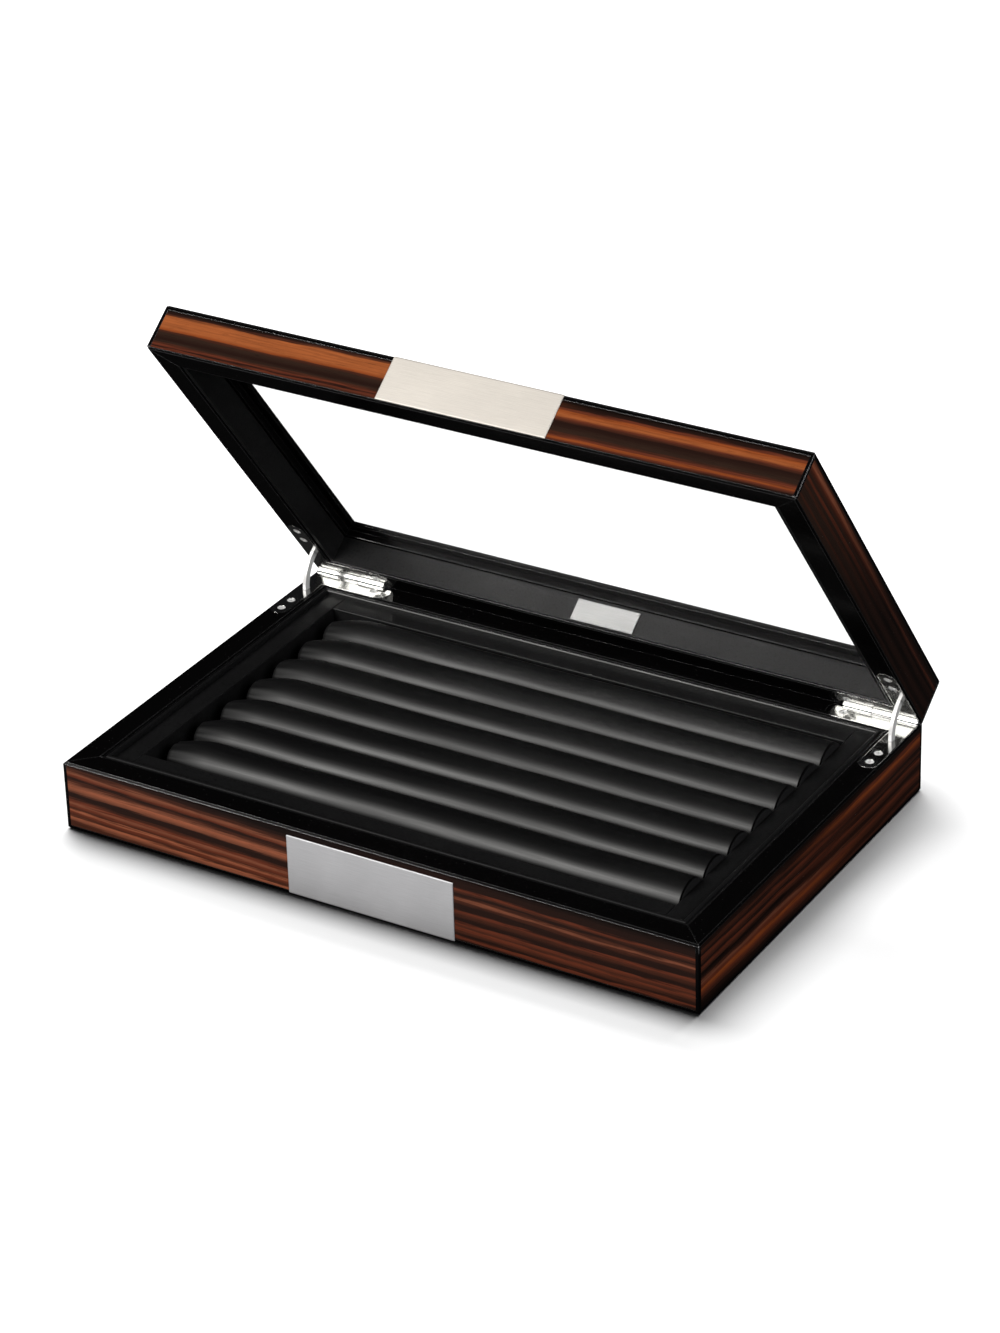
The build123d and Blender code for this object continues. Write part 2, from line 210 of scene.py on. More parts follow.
print("the grain group has", len(grain_streaks.nodes), "nodes")

# %% [markdown]
# ## Shared effect: smudges and dust
#
# Polished things are never evenly clean. Wiping leaves broad soft patches where the gloss is a little duller, and a
# few specks of dust settle everywhere. Both are masks only: each finish decides how much they change it.

# %% Group: smudges and dust
smudges_and_dust, given, result = start_group(
    "smudges_and_dust", {"Vector": None, "Patches per metre": 25.0, "Specks per metre": 900.0},
    {"Smudge": "Float", "Dust": "Float"})
patches = noise(smudges_and_dust, given["Vector"], given["Patches per metre"], 4.0, 0.6)
specks = add(smudges_and_dust, "TexVoronoi", {"Vector": given["Vector"], "Scale": given["Specks per metre"]})
chance = add(smudges_and_dust, "SeparateColor", {0: specks.outputs["Color"]}).outputs[0]
rare = sums(smudges_and_dust, "GREATER_THAN", chance, 0.94)
near = spread(smudges_and_dust, specks.outputs["Distance"], 0.12, 0.3, 1.0, 0.0)
smudges_and_dust.links.new(spread(smudges_and_dust, patches, 0.4, 0.7), result["Smudge"])
smudges_and_dust.links.new(sums(smudges_and_dust, "MULTIPLY", near, rare), result["Dust"])

# %% [markdown]
# ## Shared effect: woven cloth
#
# A plain weave is two sets of threads that go over and under each other. Each set is a row of rounded ridges, and a
# chequer decides which set is on top. The vector counts metres along the two directions of the thread, so it comes
# from the piece's own UV map.

# %% Group: woven cloth
woven_cloth, given, result = start_group(
    "woven_cloth", {"Vector": None, "Threads per metre": 3300.0}, {"Height": "Float", "Slub": "Float"})
turns = add(woven_cloth, "VectorMath", {0: given["Vector"], "Scale": given["Threads per metre"]}, operation="SCALE")
parts = add(woven_cloth, "SeparateXYZ", {0: turns.outputs[0]}).outputs


def ridge(value):
    """Rounded ridge for each whole step of a value: the height of half a sine wave."""
    return sums(woven_cloth, "ABSOLUTE", sums(woven_cloth, "SINE", sums(woven_cloth, "MULTIPLY", value, math.pi)))


over = add(woven_cloth, "TexChecker", {"Vector": turns.outputs[0], "Scale": 1.0}).outputs["Fac"]
warp = sums(woven_cloth, "MULTIPLY", ridge(parts["X"]), over)
under = sums(woven_cloth, "SUBTRACT", 1.0, over)
weft = sums(woven_cloth, "MULTIPLY", ridge(parts["Y"]), under)
woven_cloth.links.new(sums(woven_cloth, "ADD", warp, weft), result["Height"])
long_threads = add(woven_cloth, "Mapping", {"Vector": given["Vector"], "Scale": (30, 900, 900)}).outputs[0]
slub = noise(woven_cloth, long_threads, 1.0)
woven_cloth.links.new(slub, result["Slub"])

# %% [markdown]
# ## Shared effect: worn edges
#
# Every edge of a polished piece is a little rounded by sanding, and that round catches light as a thin line. The CAD
# edges have chamfers with sharp borders. Instead of more geometry, the Bevel node bends the normal near each border,
# and where the bent normal leaves the true one, the mask says how close the edge is.

# %% Group: worn edges
# The lacquer uses this mask to paint a highlight on its upper edges.
worn_edges, given, result = start_group("worn_edges", {"Radius": 0.0004}, {"Normal": "Vector", "Edge": "Float"})
rounded = add(worn_edges, "Bevel", {"Radius": given["Radius"]}, samples=4).outputs[0]
facing = add(worn_edges, "VectorMath", {0: rounded, 1: add(worn_edges, "NewGeometry").outputs["Normal"]},
             operation="DOT_PRODUCT").outputs["Value"]
worn_edges.links.new(rounded, result["Normal"])
worn_edges.links.new(spread(worn_edges, facing, 0.8, 1.0, 1.0, 0.0), result["Edge"])

# %% [markdown]
# ## Black lacquer
#
# The walls and the lid's rails are black and rubbed to a satin gloss. Real lacquer is a clear coat over black paint.
# A plain dark Principled shader gives the same look with less noise, as long as its reflection is kept weak: the
# photograph's rims are almost pure black, with a thin bright line where an edge meets the light. That line is a
# painted highlight: the edges alone are painted lighter and made a little metallic, which raises their reflection and
# nothing else. The mask ends below the base's rim, so the edges near the table get no painted highlight.

# %% Material: black lacquer
lacquer, tree, shader = start_material("black_lacquer", Specular_IOR_Level=0.04)
marks = add(tree, "Group", {"Vector": place_on(tree)}, node_tree=smudges_and_dust).outputs
edges = add(tree, "Group", {"Radius": 0.0006}, node_tree=worn_edges).outputs
above_table = add(tree, "SeparateXYZ", {0: place_on(tree)}).outputs["Z"]
# Painted highlight: the upper edges are painted lighter and made metallic, so they catch the light as a thin line.
painted_edge_highlight = sums(tree, "MULTIPLY", edges["Edge"], spread(tree, above_table, 0.028, 0.031))
tone = blend_colours(tree, marks["Dust"], (0.0018, 0.0017, 0.0018, 1), (0.02, 0.02, 0.02, 1))
tone = blend_colours(tree, painted_edge_highlight, tone, (0.2, 0.2, 0.204, 1))
tree.links.new(tone, shader.inputs["Base Color"])
tree.links.new(painted_edge_highlight, shader.inputs["Metallic"])
tree.links.new(spread(tree, marks["Smudge"], 0.0, 1.0, 0.11, 0.2), shader.inputs["Roughness"])
orange_peel = noise(tree, place_on(tree), 160.0, 1.0)
swell = add(tree, "Bump", {"Strength": 0.03, "Distance": 0.001, "Height": orange_peel, "Normal": edges["Normal"]})
tree.links.new(swell.outputs[0], shader.inputs["Normal"])
sides = ("front", "right", "rear", "left")
finish_nodes(lacquer, *[f"base_{side}_wall" for side in sides], *[f"lid_{side}_rail" for side in sides],
             *[f"glass_bead_{side}" for side in sides])

# %% [markdown]
# ## Ebony veneer
#
# The faces carry striped ebony under a gloss finish. Its stripes are broad bands of black, brown and orange that run
# along each face, and no two faces are alike. A random texture can't give chosen bands, so each face has two colour
# ramps across its height, one for each end, and the pattern passes from one to the other along the face. Each ramp
# can also slope, as a stripe does that isn't cut quite along the grain. The wander of the grain group bends the bands,
# and its streaks and pores break them up.
#
# The lid stands open, but its veneer was cut with the lid shut. A Mapping node turns the pattern with the lid. The main
# light is strong, and what a bright face throws back would tint the white floor, so bounces see a darker face.

# %% Tones of ebony, and the lid's turn
TONES = {
    "black": (0.005, 0.0035, 0.003, 1),
    "umber": (0.018, 0.008, 0.006, 1),
    "dusk": (0.03, 0.016, 0.011, 1),
    "brown": (0.06, 0.019, 0.011, 1),
    "russet": (0.125, 0.03, 0.015, 1),
    "rose": (0.2, 0.065, 0.035, 1),
    "rust": (0.28, 0.065, 0.017, 1),
    "copper": (0.3, 0.092, 0.046, 1),
    "amber": (0.36, 0.1, 0.03, 1),
}
hinge = next(joint for joint in frame["joints"] if joint["name"] == "lid_hinge")
opening = math.radians(-hinge["range_deg"][0])
pin = Vector(hinge["pos_m"])
to_shut = Matrix.Rotation(opening, 3, "X")


def place_when_shut(tree):
    """Coordinates in metres of the place that a point of the open lid has when the lid is shut."""
    moved = pin - to_shut @ pin
    inputs = {"Vector": place_on(tree), "Location": moved, "Rotation": (opening, 0, 0)}
    return add(tree, "Mapping", inputs).outputs[0]


def bands(tree, share, stops):
    """Colour ramp across a face, from its lower edge at 0 to its upper edge at 1."""
    node = add(tree, "ValToRGB", {"Fac": share})
    ramp = node.color_ramp
    ramp.interpolation = "EASE"
    while len(ramp.elements) < len(stops):
        ramp.elements.new(0.5)
    for element, (place, tone) in zip(ramp.elements, stops):
        element.position, element.color = place, TONES[tone]
    return node.outputs["Color"]


def sloped_bands(tree, share, along, ramp):
    """Bands whose places are right at one point along the face, and drop by a share of its height for each metre."""
    stops, drop, middle = ramp
    away = sums(tree, "SUBTRACT", along, middle)
    return bands(tree, sums(tree, "MULTIPLY_ADD", away, drop, share), stops)


def dim_for_bounces(tree, tone):
    """The same colour, but nearly black for the light that the piece throws back on its surroundings."""
    return blend_colours(tree, add(tree, "LightPath").outputs["Is Diffuse Ray"], tone, (0.02, 0.02, 0.02, 1))


def veneer(name, low, high, turn, start, end, meeting=(-0.5, 0.5), bend=0.05, on_lid=False, seed=0.0):
    """Veneer whose grain runs along X once the face is turned about Z, with bands across it from low to high."""
    made, tree, shader = start_material(name, Specular_IOR_Level=0.07, Roughness=0.2)
    place = place_when_shut(tree) if on_lid else place_on(tree)
    turned = add(tree, "Mapping", {"Vector": place, "Rotation": (0, 0, turn)}).outputs[0]
    parts = add(tree, "SeparateXYZ", {0: turned}).outputs
    shifted = add(tree, "Mapping", {"Vector": turned, "Location": (seed, seed, seed)}).outputs[0]
    grain = add(tree, "Group", {"Vector": shifted, "Lines per metre": 1500.0, "Stretch": 30.0, "Bend per metre": 9.0},
                node_tree=grain_streaks).outputs
    height = sums(tree, "DIVIDE", sums(tree, "SUBTRACT", parts["Z"], low), high - low)
    bent = sums(tree, "MULTIPLY_ADD", grain["Wander"], bend * 6, height)
    frayed = sums(tree, "MULTIPLY_ADD", sums(tree, "SUBTRACT", grain["Streaks"], 0.5), 0.035, bent)
    share = spread(tree, parts["X"], *meeting)
    first, second = (sloped_bands(tree, frayed, parts["X"], ramp) for ramp in (start, end))
    tone = blend_colours(tree, share, first, second)
    tone = blend_colours(tree, sums(tree, "MULTIPLY", grain["Streaks"], 0.3), tone, TONES["umber"])
    tone = blend_colours(tree, sums(tree, "MULTIPLY", grain["Pores"], 0.4), tone, TONES["black"])
    tree.links.new(dim_for_bounces(tree, tone), shader.inputs["Base Color"])
    marks = add(tree, "Group", {"Vector": place}, node_tree=smudges_and_dust).outputs
    tree.links.new(spread(tree, marks["Smudge"], 0.0, 1.0, 0.14, 0.24), shader.inputs["Roughness"])
    dents = add(tree, "Bump", {"Strength": 0.12, "Distance": 0.0002, "Height": grain["Pores"]}, invert=True)
    tree.links.new(dents.outputs[0], shader.inputs["Normal"])
    return made


# %% [markdown]
# The lid's front has one broad orange band over a black one. The base's front has many fine stripes, and its two ramps
# also carry painted shade: the left end is painted lighter and the right end darker, as the light falls off along
# the face. The flanks are darker. The rear and the top of the lid, which the photograph doesn't show, continue the
# same sheets.

# %% Material: veneer of each face
base_low, base_high = 0.002, 0.0315  # heights of the veneer's two edges
lid_low, lid_high = 0.0336, 0.0517  # the same, with the lid shut
lid_front = veneer(
    "veneer_lid_front", lid_low, lid_high, 0,
    ([(0.0, "brown"), (0.04, "russet"), (0.08, "umber"), (0.12, "russet"), (0.16, "brown"), (0.2, "dusk"),
      (0.27, "umber"), (0.42, "dusk"), (0.48, "brown"), (0.52, "rust"), (0.58, "amber"), (0.72, "amber"),
      (0.86, "amber"), (0.91, "brown"), (0.95, "umber"), (1.0, "black")], -0.4, -0.095),
    ([(0.0, "umber"), (0.03, "brown"), (0.07, "russet"), (0.11, "rust"), (0.18, "russet"), (0.23, "brown"),
      (0.29, "dusk"), (0.5, "umber"), (0.56, "brown"), (0.61, "russet"), (0.67, "amber"), (0.79, "rust"),
      (0.85, "russet"), (0.9, "umber"), (1.0, "black")], -1.0, 0.095),
    meeting=(-0.06, 0.06), bend=0.03, on_lid=True, seed=0.31)
# Painted shade: besides the stripes, lighter tones at the left end and darker ones at the right paint the light's
# fall-off.
base_front = veneer(
    "veneer_base_front_painted_falloff", base_low, base_high, 0,
    ([(0.0, "brown"), (0.05, "rose"), (0.08, "copper"), (0.12, "brown"), (0.17, "russet"), (0.2, "copper"),
      (0.24, "brown"), (0.28, "russet"), (0.32, "rose"), (0.36, "russet"), (0.4, "brown"), (0.44, "umber"),
      (0.5, "umber"), (0.55, "rose"), (0.6, "copper"), (0.64, "rose"), (0.69, "brown"), (0.74, "umber"),
      (0.78, "russet"), (0.82, "rose"), (0.87, "brown"), (0.93, "umber"), (1.0, "black")], 1.33, -0.095),
    ([(0.0, "umber"), (0.05, "russet"), (0.09, "umber"), (0.14, "brown"), (0.18, "russet"), (0.22, "brown"),
      (0.27, "russet"), (0.31, "umber"), (0.35, "umber"), (0.42, "brown"), (0.46, "russet"), (0.5, "umber"),
      (0.56, "umber"), (0.62, "brown"), (0.65, "rose"), (0.69, "brown"), (0.73, "umber"), (0.77, "brown"),
      (0.8, "russet"), (0.84, "umber"), (0.9, "umber"), (1.0, "black")], 0.1, 0.095),
    meeting=(-0.04, 0.04), bend=0.03, seed=0.77)
base_flank = veneer(
    "veneer_base_flank", base_low, base_high, -math.pi / 2,
    ([(0.0, "black"), (0.08, "umber"), (0.13, "brown"), (0.18, "russet"), (0.24, "rust"), (0.3, "russet"),
      (0.35, "rose"), (0.39, "brown"), (0.43, "umber"), (0.48, "black"), (0.53, "brown"), (0.57, "russet"),
      (0.62, "umber"), (0.67, "brown"), (0.72, "russet"), (0.77, "umber"), (0.83, "brown"), (0.88, "umber"),
      (1.0, "black")], 0.6, -0.055),
    ([(0.0, "umber"), (0.06, "brown"), (0.12, "umber"), (0.2, "brown"), (0.26, "russet"), (0.31, "brown"),
      (0.37, "umber"), (0.44, "brown"), (0.49, "russet"), (0.54, "umber"), (0.6, "brown"), (0.66, "umber"),
      (0.72, "brown"), (0.77, "russet"), (0.83, "rust"), (0.88, "russet"), (0.94, "umber"),
      (1.0, "black")], -0.3, 0.075),
    meeting=(-0.035, 0.06), bend=0.05, seed=1.9)
lid_flank = veneer(
    "veneer_lid_flank", lid_low, lid_high, -math.pi / 2,
    ([(0.0, "dusk"), (0.1, "dusk"), (0.16, "brown"), (0.22, "dusk"), (0.34, "dusk"), (0.4, "brown"), (0.5, "dusk"),
      (0.58, "russet"), (0.64, "dusk"), (0.74, "brown"), (0.8, "russet"), (0.86, "copper"), (0.92, "rose"),
      (0.96, "brown"), (1.0, "black")], 0.3, -0.07),
    ([(0.0, "black"), (0.1, "umber"), (0.16, "black"), (0.34, "umber"), (0.5, "black"), (0.66, "umber"),
      (0.74, "black"), (0.84, "brown"), (0.89, "umber"), (1.0, "black")], 0.0, 0.05),
    meeting=(-0.1, 0.03), bend=0.04, on_lid=True, seed=3.3)
finish_nodes(lid_front, "lid_front_veneer", "lid_rear_veneer")
finish_nodes(base_front, "base_front_veneer", "base_rear_veneer")
finish_nodes(base_flank, "base_right_veneer", "base_left_veneer")
finish_nodes(lid_flank, "lid_right_veneer", "lid_left_veneer")

# %% [markdown]
# On the lid's top the bands lie flat, so the coordinate that counts across the bands is the depth of the frame and not
# its height. The same function serves once the piece is tipped by a quarter turn.

# %% Material: veneer of the lid's top
def top_veneer(name, turn, seed):
    """Veneer on a flat rail of the lid's top, whose bands lie across the rail's width."""
    low, high = (0.133, 0.1525) if turn else (0.08, 0.0995)  # the rail's inner and outer edge
    made, tree, shader = start_material(name, Specular_IOR_Level=0.07, Roughness=0.2)
    shut = place_when_shut(tree)
    turned = add(tree, "Mapping", {"Vector": shut, "Rotation": (0, 0, turn)}).outputs[0]
    parts = add(tree, "SeparateXYZ", {0: turned}).outputs
    shifted = add(tree, "Mapping", {"Vector": turned, "Location": (seed, seed, seed)}).outputs[0]
    grain = add(tree, "Group", {"Vector": shifted, "Lines per metre": 1500.0, "Stretch": 30.0},
                node_tree=grain_streaks).outputs
    across = sums(tree, "ABSOLUTE", parts["Y"])
    share = sums(tree, "DIVIDE", sums(tree, "SUBTRACT", across, low), high - low)
    bent = sums(tree, "MULTIPLY_ADD", grain["Wander"], 0.4, share)
    tone = bands(tree, bent, [
        (0.0, "umber"), (0.12, "rose"), (0.2, "umber"), (0.32, "rust"), (0.42, "amber"), (0.52, "rust"),
        (0.6, "black"), (0.72, "umber"), (0.8, "russet"), (0.88, "rose"), (1.0, "black")])
    tone = blend_colours(tree, sums(tree, "MULTIPLY", grain["Streaks"], 0.35), tone, TONES["umber"])
    tone = blend_colours(tree, sums(tree, "MULTIPLY", grain["Pores"], 0.5), tone, TONES["black"])
    tree.links.new(tone, shader.inputs["Base Color"])
    marks = add(tree, "Group", {"Vector": shut}, node_tree=smudges_and_dust).outputs
    tree.links.new(spread(tree, marks["Smudge"], 0.0, 1.0, 0.14, 0.24), shader.inputs["Roughness"])
    return made


finish_nodes(top_veneer("veneer_top_long", 0, 5.1), "lid_front_top_veneer", "lid_rear_top_veneer")
finish_nodes(top_veneer("veneer_top_short", -math.pi / 2, 7.7), "lid_right_top_veneer", "lid_left_top_veneer")

# %% [markdown]
# ## Steel
#
# Five finishes are on the box: the brushed plates on the lid and on the base, the satin label plate, the polished
# hinge leaves, and the satin screws and arms. The two plates are one steel in two copies, with painted light: the
# lid's is painted warmer and lighter, the base's cooler and darker. The screws and arms are painted near white and
# are mostly not metallic, a painted highlight that stands in for the shine of their heads and curves. Otherwise what
# tells the finishes apart is roughness, and the fine lines that the brush leaves, which run along the plate. They
# change the roughness and tilt the surface a little, so the light breaks up across them. The plates' edges are
# rounded, and a wide Bevel lets the upper ones catch the light.

# %% Material: steels
def steel(name, colour, rough_low, rough_high, brush=0.0, edge=0.0003, metallic=1.0):
    """Metal with roughness between two limits, brushed lines along X of the given strength, and edges of a radius."""
    made, tree, shader = start_material(name, Metallic=metallic)
    place = place_on(tree)
    grain = add(tree, "Group", {"Vector": place, "Lines per metre": 5000.0, "Stretch": 60.0}, node_tree=grain_streaks)
    marks = add(tree, "Group", {"Vector": place, "Patches per metre": 40.0}, node_tree=smudges_and_dust).outputs
    edges = add(tree, "Group", {"Radius": edge}, node_tree=worn_edges).outputs
    smudged = sums(tree, "MULTIPLY", marks["Smudge"], 0.4)
    lines_and_marks = sums(tree, "MULTIPLY_ADD", grain.outputs["Streaks"], 0.6, smudged)
    tree.links.new(spread(tree, lines_and_marks, 0.0, 1.0, rough_low, rough_high), shader.inputs["Roughness"])
    darker = tuple(v * 0.9 for v in colour)
    tone = blend_colours(tree, grain.outputs["Streaks"], (*colour, 1), (*darker, 1))
    tree.links.new(dim_for_bounces(tree, tone), shader.inputs["Base Color"])
    ridges = add(tree, "Bump", {"Strength": brush, "Distance": 0.0001, "Height": grain.outputs["Streaks"],
                                "Normal": edges["Normal"]})
    tree.links.new(ridges.outputs[0], shader.inputs["Normal"])
    return made


# Painted light: one brushed steel in two copies, the lid's painted warmer and lighter, the base's cooler and darker.
finish_nodes(steel("brushed_steel_painted_warm_light", (0.97, 0.92, 0.85), 0.57, 0.63, brush=0.1, edge=0.0008), "lid_front_plate")
finish_nodes(steel("brushed_steel_painted_cool_shade", (0.84, 0.84, 0.86), 0.57, 0.63, brush=0.1, edge=0.0008), "base_front_plate")
finish_nodes(steel("satin_label_steel", (0.29, 0.29, 0.29), 0.42, 0.5, brush=0.06), "lid_label_plate")
polished = steel("polished_hinge_steel", (0.52, 0.52, 0.51), 0.1, 0.18, edge=0.0005)
finish_nodes(polished, *[name for name in nodes if name.startswith("hinge_")])
# Painted highlight: a near-white colour that is mostly not metallic stands in for the shine on screw heads and arms.
steel_painted_white_highlight = steel("screw_steel_painted_white_highlight", (0.95, 0.95, 0.94), 0.3, 0.4, metallic=0.15)
finish_nodes(steel_painted_white_highlight, "quadrant_arm_left", "quadrant_arm_right")

# %% [markdown]
# ## Window glass
#
# The pane is plain clear glass. A Principled shader with full transmission bends and reflects light as glass does, but
# it also stops the lamps from reaching what lies behind, because shadow rays don't bend. So the shader is mixed with a
# transparent one that only shadow rays see.

# %% Material: window glass
glass, tree, shader = start_material("window_glass", Transmission_Weight=1.0, IOR=1.45, Metallic=0.0)
marks = add(tree, "Group", {"Vector": place_on(tree), "Patches per metre": 18.0}, node_tree=smudges_and_dust).outputs
tree.links.new(spread(tree, marks["Smudge"], 0.3, 1.0, 0.0, 0.02), shader.inputs["Roughness"])
shader.inputs["Base Color"].default_value = (0.99, 1.0, 0.995, 1)
shadow_only = add(tree, "LightPath").outputs["Is Shadow Ray"]
clear = add(tree, "BsdfTransparent").outputs[0]
both = add(tree, "MixShader", {0: shadow_only, 1: shader.outputs[0], 2: clear})
tree.links.new(both.outputs[0], tree.nodes["Material Output"].inputs["Surface"])
finish_nodes(glass, "lid_glass")

# %% [markdown]
# ## Leatherette
#
# The boards round the rolls and inside the lid are wrapped in black leatherette. It has a fine pebbled grain, made
# with the cells of a Voronoi texture: each cell is a low pebble, and the grooves between them are a little darker. The
# welts that edge the tray are stretched tight round a cord, so the same stuff is shinier there, apart from the front
# and left ones, which show no shine in the photograph, as if hands had rubbed them dull.

# %% Material: leatherette
def leatherette(name, low, high, **values):
    """Pebbled cover whose grey lies between two values."""
    made, tree, shader = start_material(name, **values)
    place = place_on(tree)
    wobble = add(tree, "TexNoise", {"Vector": place, "Scale": 700.0}).outputs["Color"]
    shift = add(tree, "VectorMath", {0: wobble, "Scale": 0.0004}, operation="SCALE").outputs[0]
    uneven = add(tree, "VectorMath", {0: place, 1: shift}, operation="ADD").outputs[0]
    pebbles = add(tree, "TexVoronoi", {"Vector": uneven, "Scale": 1500.0}, feature="SMOOTH_F1").outputs["Distance"]
    broad = noise(tree, place, 35.0, 3.0)
    tone = blend_colours(tree, broad, (low, low, 1.04 * low, 1), (high, high, 1.04 * high, 1))
    grooves = spread(tree, pebbles, 0.4, 0.8)
    tree.links.new(blend_colours(tree, grooves, tone, (0.003, 0.003, 0.003, 1)), shader.inputs["Base Color"])
    tree.links.new(spread(tree, broad, 0.3, 0.7, 0.36, 0.46), shader.inputs["Roughness"])
    grain_bump = add(tree, "Bump", {"Strength": 0.2, "Distance": 0.0002, "Height": pebbles}, invert=True)
    tree.links.new(grain_bump.outputs[0], shader.inputs["Normal"])
    return made


covered = leatherette("leatherette", 0.007, 0.0105, Specular_IOR_Level=0.2)
finish_nodes(covered, *[f"{part}_{side}" for part in ("base_lining", "lid_lining") for side in sides])
stretched = leatherette("stretched_leatherette", 0.0052, 0.008, Specular_IOR_Level=0.5)
finish_nodes(stretched, "base_welt_right", "base_welt_rear")
rubbed = leatherette("rubbed_leatherette", 0.007, 0.0105, Specular_IOR_Level=0.06)
finish_nodes(rubbed, "base_welt_front", "base_welt_left")

# %% [markdown]
# ## Hidden boards and the felt
#
# The tray and the bottom are plain fibre board, which is smooth and has no grain lines to speak of, only short fibres.
# The tray's board is painted nearly black, as painted shade, so nothing pale shows in the gaps beside the rolls.
# The underside is glued felt: a mat of fibres with no direction, so noise at three sizes makes it, with no weave.

# %% Material: fibre board and felt
def fibre_board(name, low, high, **values):
    """Board of pressed fibres, whose colour lies between two others."""
    made, tree, shader = start_material(name, Roughness=0.8, **values)
    fibres = {"Vector": place_on(tree), "Lines per metre": 1200.0, "Stretch": 6.0}
    streaks = add(tree, "Group", fibres, node_tree=grain_streaks).outputs["Streaks"]
    tree.links.new(blend_colours(tree, streaks, (*low, 1), (*high, 1)), shader.inputs["Base Color"])
    return made


finish_nodes(fibre_board("fibre_board", (0.2, 0.125, 0.07), (0.27, 0.18, 0.11)), "base_bottom_board")
# Painted shade: the tray board is near black, so the gaps beside the rolls stay dark.
painted_shade_board = fibre_board("board_with_painted_shade", (0.004, 0.004, 0.004), (0.008, 0.008, 0.008), Specular_IOR_Level=0.1)
finish_nodes(painted_shade_board, "tray_board")
felt, tree, shader = start_material("underside_felt", Roughness=0.95, Specular_IOR_Level=0.1, Sheen_Weight=0.3)
fibres = noise(tree, place_on(tree), 1800.0, 4.0, 0.7)
clumps = noise(tree, place_on(tree), 120.0, 3.0)
mat = sums(tree, "MULTIPLY_ADD", clumps, 0.5, sums(tree, "MULTIPLY", fibres, 0.5))
tree.links.new(blend_colours(tree, mat, (0.008, 0.008, 0.009, 1), (0.03, 0.03, 0.032, 1)), shader.inputs["Base Color"])
fuzz = add(tree, "Bump", {"Strength": 0.6, "Distance": 0.0004, "Height": mat})
tree.links.new(fuzz.outputs[0], shader.inputs["Normal"])
finish_nodes(felt, "base_felt")

# %% [markdown]
# ## A surface on a grid
#
# The new pieces are all surfaces with two parameters: one runs along the piece and closes at both ends in a point, the
# other runs round it. The helper takes a whole array of points, joins them into faces that point outwards, and keeps
# the two parameters as a UV map in metres, which the weave follows.

# %% Helper: closed surface from a grid of points
def face_uv(*corners):
    """UV pairs of the corners of many faces at once: each corner's u and v are arrays, or one number for them all."""
    return np.stack([np.stack(np.broadcast_arrays(u, v), axis=-1) for u, v in corners], axis=-2).ravel()


def closed_surface(name, points, lengths=None):
    """Mesh from a grid of points with its rows round the piece and its first and last row each at one point.

    Row i and column j become vertex 1 + (i - 1) * columns + j. The two end rows are single vertices with fans.
    Lengths along the piece and round it make the UV map, where they are given.
    """
    rows, columns = points.shape[:2]
    ring = np.arange((rows - 2) * columns).reshape(rows - 2, columns) + 1
    after = np.roll(ring, -1, axis=1)
    quads = np.stack([ring[:-1], ring[1:], after[1:], after[:-1]], axis=-1).reshape(-1, 4)
    last = (rows - 2) * columns + 1
    first_fan = np.stack([np.zeros(columns, int), ring[0], after[0]], axis=-1)
    last_fan = np.stack([ring[-1], np.full(columns, last), after[-1]], axis=-1)
    vertices = np.concatenate([points[:1, 0], points[1:-1].reshape(-1, 3), points[-1:, 0]])
    mesh = bpy.data.meshes.new(name)
    mesh.from_pydata(vertices.tolist(), [], quads.tolist() + first_fan.tolist() + last_fan.tolist())
    mesh.polygons.foreach_set("use_smooth", np.ones(len(mesh.polygons), bool))
    if lengths is not None:
        u, v = lengths
        low, high, here, beyond = u[1:-2, None], u[2:-1, None], v[:-1], v[1:]
        flat = np.concatenate([face_uv((low, here), (high, here), (high, beyond), (low, beyond)),
                               face_uv((u[0], here), (u[1], here), (u[1], beyond)),
                               face_uv((u[-2], here), (u[-1], here), (u[-2], beyond))])
        mesh.uv_layers.new(name="thread").data.foreach_set("uv", flat.astype(np.float32))
    mesh.update()
    made = bpy.data.objects.new(name, mesh)
    bpy.context.scene.collection.objects.link(made)
    return made


# %% [markdown]
# ## Cushion rolls
#
# Seven foam rolls lie side by side, and the grooves between them hold the cufflinks. Each is a bar of foam with a
# round top, wrapped in satin cloth that is drawn in and tucked at both ends. A cloth simulation would pump up the whole
# bar, but the foam holds this shape firmly, so the surface is worked out directly: a section that is round above and
# square below, carried along the bar. Foam bars are never quite straight, so each crown leans a little one way or the
# other as it goes along. At the left it is drawn in to a nose with small tucks where the cloth is gathered, and the
# gathers break up its gloss. At the right it is cut straight and stands against the board, with a patch over the cut.

# %% Shape of a roll
to_board = 0.0028  # how much further right than its CAD solid the cloth reaches
nose_length, nose_loss = 0.024, 0.45  # how long the nose is, and the share of the section that it has lost at its tip
nose_closing, end_closing = 0.004, 0.0007  # over which the two ends round off to a point
crown_share = 0.92  # the crown's height above the shoulder, as a share of half the roll's width


def ripple(x, size, waves, draw):
    """A sine wave along X of the given size, with a phase from the random draw."""
    return size * np.sin(x * waves + draw.uniform(0, 6))


